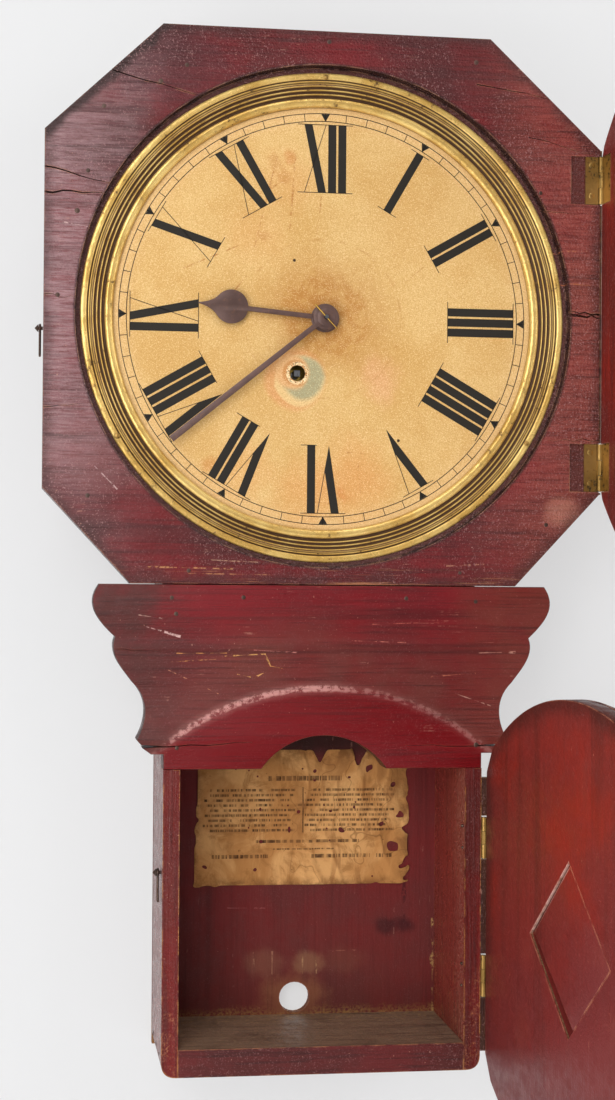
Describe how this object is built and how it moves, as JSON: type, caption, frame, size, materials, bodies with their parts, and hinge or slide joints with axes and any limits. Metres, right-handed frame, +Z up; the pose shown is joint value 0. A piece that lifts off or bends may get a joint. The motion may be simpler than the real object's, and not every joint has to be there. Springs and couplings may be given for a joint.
{
  "type": "wall clock",
  "caption": "Octagon head wall clock with a scalloped drop and a lower box, two round side-hinged doors standing open, dial, hands, spring movement and pendulum.",
  "frame": {"origin": "on the back of the case, on the axis of the hands", "axes": "+Z up, front faces -Y, +X to the right seen from the front"},
  "size_m": [0.5103, 0.5335, 0.8408],
  "materials": {
    "octagon_paint": "worn maroon paint over pine, satin",
    "apron_paint": "worn maroon paint, satin",
    "case_wood": "thin red brown paint on pine",
    "box_paint": "worn maroon paint with bare edges",
    "floor_wood": "dusty dark brown",
    "back_paint": "matt maroon paint",
    "label_paper": "aged brown paper",
    "iron": "dull",
    "zinc": "dull zinc",
    "dial_paper": "aged cream paper",
    "bezel_brass": "bright lacquered",
    "clock_brass": "satin",
    "block_wood": "bare pine",
    "steel": "satin",
    "aged_brass": "aged brown",
    "hand_steel": "dark brown",
    "door_paint": "brick red paint, satin",
    "diamond_paint": "brick red paint",
    "glass": "clear"
  },
  "bodies": {
    "case": {"front_octagon": "octagon_paint", "apron_board": "apron_paint", "head_top_board": "case_wood", "head_upper_left_board": "case_wood", "head_upper_right_board": "case_wood", "head_left_board": "case_wood", "head_right_board": "case_wood", "head_lower_left_board": "case_wood", "head_lower_right_board": "case_wood", "box_side_left": "box_paint", "box_side_right": "box_paint", "box_bottom": "floor_wood", "box_back_panel": "back_paint", "paper_label": "label_paper", "head_back_panel": "case_wood", "hanger_plate": "iron", "dial_pan": "zinc", "dial_paper": "dial_paper", "dial_bezel": "bezel_brass", "back_plate": "clock_brass", "front_plate": "clock_brass", "movement_block_left": "block_wood", "movement_block_right": "block_wood", "mainspring": "steel", "suspension_post": "aged_brass", "upper_hinge_top_case_leaf": "aged_brass", "upper_hinge_bottom_case_leaf": "aged_brass", "lower_hinge_top_case_leaf": "aged_brass", "lower_hinge_bottom_case_leaf": "aged_brass", "upper_hook_screw": "iron", "lower_hook_screw": "iron"},
    "upper_door": {"upper_door_frame": "door_paint", "upper_door_glass": "glass", "upper_hinge_top_door_leaf": "aged_brass", "upper_hinge_bottom_door_leaf": "aged_brass"},
    "lower_door": {"lower_door_board": "door_paint", "lower_door_diamond": "diamond_paint", "lower_door_moulding": "door_paint", "lower_hinge_top_door_leaf": "aged_brass", "lower_hinge_bottom_door_leaf": "aged_brass"},
    "minute_arbor": {"centre_arbor": "steel", "centre_wheel": "clock_brass", "minute_hand": "hand_steel", "taper_pin": "clock_brass"},
    "hour_pipe": {"hour_wheel": "clock_brass", "hour_hand": "hand_steel"},
    "minute_wheel": {"minute_wheel": "clock_brass"},
    "great_wheel": {"great_wheel": "clock_brass"},
    "winding_arbor": {"winding_arbor": "steel"},
    "click": {"click": "steel"},
    "third_wheel": {"third_wheel": "clock_brass"},
    "escape_wheel": {"escape_wheel": "clock_brass"},
    "verge": {"verge": "steel", "crutch": "aged_brass"},
    "pendulum": {"pendulum_rod": "steel", "pendulum_bob": "clock_brass"},
    "rating_nut": {"rating_nut": "aged_brass"},
    "upper_hook": {"upper_hook": "aged_brass"},
    "lower_hook": {"lower_hook": "aged_brass"}
  },
  "joints": [
    {"name": "upper_door_swing", "type": "hinge", "parent": "case", "child": "upper_door", "pos_m": [0.2059, -0.0882, 0], "axis": [0, 0, 1], "range_deg": [-99, 76]},
    {"name": "lower_door_swing", "type": "hinge", "parent": "case", "child": "lower_door", "pos_m": [0.1195, -0.0882, -0.434], "axis": [0, 0, 1], "range_deg": [-99, 53]},
    {"name": "minute_turn", "type": "hinge", "parent": "case", "child": "minute_arbor", "pos_m": [0, -0.06, 0], "axis": [0, 1, 0], "continuous": true},
    {"name": "hour_turn", "type": "hinge", "parent": "case", "child": "hour_pipe", "pos_m": [0, -0.07, 0], "axis": [0, 1, 0], "continuous": true},
    {"name": "minute_wheel_turn", "type": "hinge", "parent": "case", "child": "minute_wheel", "pos_m": [0.018, -0.066, 0], "axis": [0, 1, 0], "continuous": true},
    {"name": "great_wheel_turn", "type": "hinge", "parent": "case", "child": "great_wheel", "pos_m": [-0.0197, -0.0577, -0.0404], "axis": [0, 1, 0], "continuous": true},
    {"name": "third_wheel_turn", "type": "hinge", "parent": "case", "child": "third_wheel", "pos_m": [-0.01409, -0.045, 0.02233], "axis": [0, 1, 0], "continuous": true},
    {"name": "escape_wheel_turn", "type": "hinge", "parent": "case", "child": "escape_wheel", "pos_m": [0, -0.045, 0.042], "axis": [0, 1, 0], "continuous": true},
    {"name": "winding_arbor_turn", "type": "hinge", "parent": "great_wheel", "child": "winding_arbor", "pos_m": [-0.0197, -0.05, -0.0404], "axis": [0, 1, 0], "continuous": true},
    {"name": "click_lift", "type": "hinge", "parent": "great_wheel", "child": "click", "pos_m": [-0.00414, -0.0556, -0.05596], "axis": [0, 1, 0], "range_deg": [0, 12], "stiffness_Nm_per_rad": 0.004, "springref_deg": -17.19},
    {"name": "pendulum_swing", "type": "hinge", "parent": "case", "child": "pendulum", "pos_m": [0, -0.0202, 0.059], "axis": [0, 1, 0], "range_deg": [-4.5, 4.5]},
    {"name": "verge_rock", "type": "hinge", "parent": "case", "child": "verge", "pos_m": [0, -0.045, 0.059], "axis": [0, 1, 0], "range_deg": [-4.5, 4.5]},
    {"name": "rating_nut_turn", "type": "hinge", "parent": "pendulum", "child": "rating_nut", "pos_m": [0, -0.0202, -0.217], "axis": [0, 0, 1], "continuous": true},
    {"name": "upper_hook_swing", "type": "hinge", "parent": "case", "child": "upper_hook", "pos_m": [-0.2077, -0.074, -0.012], "axis": [-1, 0, 0], "range_deg": [-20, 90]},
    {"name": "lower_hook_swing", "type": "hinge", "parent": "case", "child": "lower_hook", "pos_m": [-0.1194, -0.074, -0.405], "axis": [-1, 0, 0], "range_deg": [-20, 90]}
  ],
  "couplings": [
    {"joint": "hour_turn", "follows": "minute_turn", "ratio": 0.083333},
    {"joint": "minute_wheel_turn", "follows": "minute_turn", "ratio": -0.33333},
    {"joint": "great_wheel_turn", "follows": "minute_turn", "ratio": -0.125},
    {"joint": "third_wheel_turn", "follows": "minute_turn", "ratio": -10},
    {"joint": "escape_wheel_turn", "follows": "minute_turn", "ratio": 100},
    {"joint": "verge_rock", "follows": "pendulum_swing", "ratio": 1}
  ]
}
